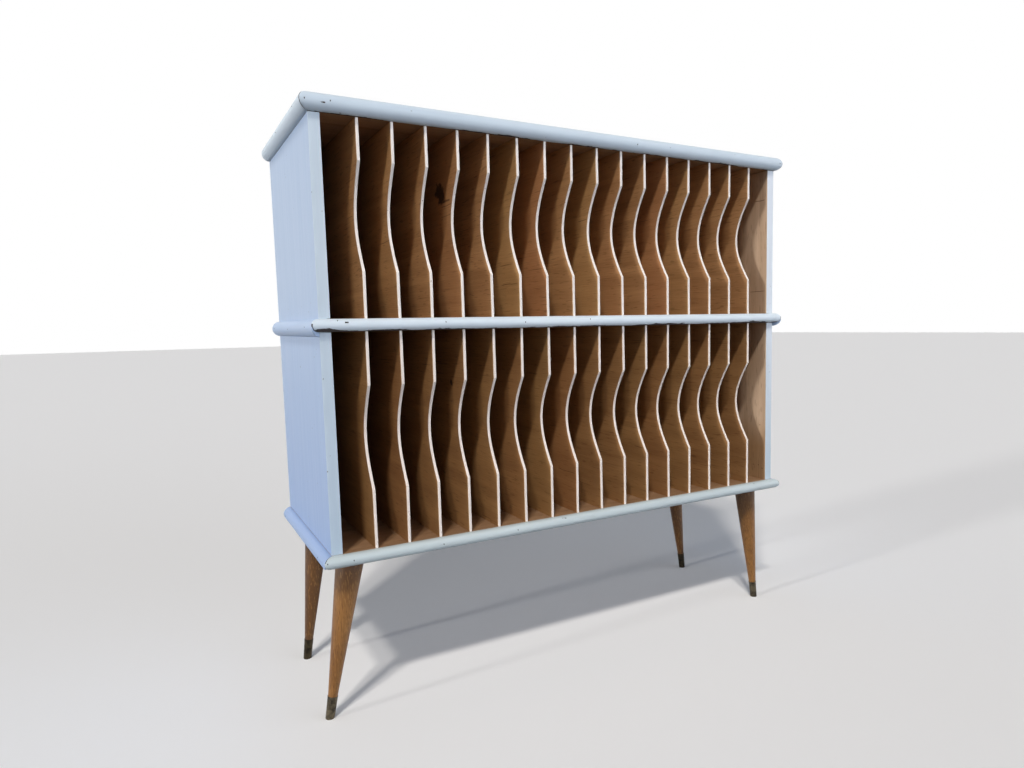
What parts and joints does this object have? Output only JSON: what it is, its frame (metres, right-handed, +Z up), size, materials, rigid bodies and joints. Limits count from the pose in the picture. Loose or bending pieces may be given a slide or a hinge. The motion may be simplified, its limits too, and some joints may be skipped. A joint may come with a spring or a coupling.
{
  "type": "record storage stand",
  "caption": "Tiered open rack of upright dividers with finger scoops, for long-playing records, on splayed tapered legs with metal ferrules.",
  "frame": {"origin": "on the floor, under the middle of the stand's overall width and depth", "axes": "+X to the right along the open front, the open front faces -Y, +Z up"},
  "size_m": [1.08, 0.424, 1.09],
  "materials": {
    "painted_wood": "brushed pale blue-grey semi-gloss paint, worn at the edges",
    "bare_wood": "unpainted light brown wood, dull",
    "divider_ply": "brown veneered sheet with a cream painted front edge",
    "leg_wood": "varnished brown wood, satin",
    "aged_brass": "dark aged brass",
    "plate_steel": "zinc-plated pressed steel, dull"
  },
  "bodies": {
    "root": {"top_board": "painted_wood", "left_side_panel": "painted_wood", "right_side_panel": "painted_wood", "middle_board": "bare_wood", "bottom_board": "bare_wood", "back_panel": "divider_ply", "lower_divider_01": "divider_ply", "lower_divider_02": "divider_ply", "lower_divider_03": "divider_ply", "lower_divider_04": "divider_ply", "lower_divider_05": "divider_ply", "lower_divider_06": "divider_ply", "lower_divider_07": "divider_ply", "lower_divider_08": "divider_ply", "lower_divider_09": "divider_ply", "lower_divider_10": "divider_ply", "lower_divider_11": "divider_ply", "lower_divider_12": "divider_ply", "lower_divider_13": "divider_ply", "lower_divider_14": "divider_ply", "lower_divider_15": "divider_ply", "lower_divider_16": "divider_ply", "upper_divider_01": "divider_ply", "upper_divider_02": "divider_ply", "upper_divider_03": "divider_ply", "upper_divider_04": "divider_ply", "upper_divider_05": "divider_ply", "upper_divider_06": "divider_ply", "upper_divider_07": "divider_ply", "upper_divider_08": "divider_ply", "upper_divider_09": "divider_ply", "upper_divider_10": "divider_ply", "upper_divider_11": "divider_ply", "upper_divider_12": "divider_ply", "upper_divider_13": "divider_ply", "upper_divider_14": "divider_ply", "upper_divider_15": "divider_ply", "upper_divider_16": "divider_ply", "top_front_lipping": "painted_wood", "top_right_lipping": "painted_wood", "top_left_lipping": "painted_wood", "middle_front_lipping": "painted_wood", "middle_right_lipping": "painted_wood", "middle_left_lipping": "painted_wood", "bottom_front_lipping": "painted_wood", "bottom_right_lipping": "painted_wood", "bottom_left_lipping": "painted_wood", "front_left_leg": "leg_wood", "front_left_ferrule": "aged_brass", "front_left_leg_plate": "plate_steel", "front_right_leg": "leg_wood", "front_right_ferrule": "aged_brass", "front_right_leg_plate": "plate_steel", "back_left_leg": "leg_wood", "back_left_ferrule": "aged_brass", "back_left_leg_plate": "plate_steel", "back_right_leg": "leg_wood", "back_right_ferrule": "aged_brass", "back_right_leg_plate": "plate_steel"}
  },
  "joints": []
}
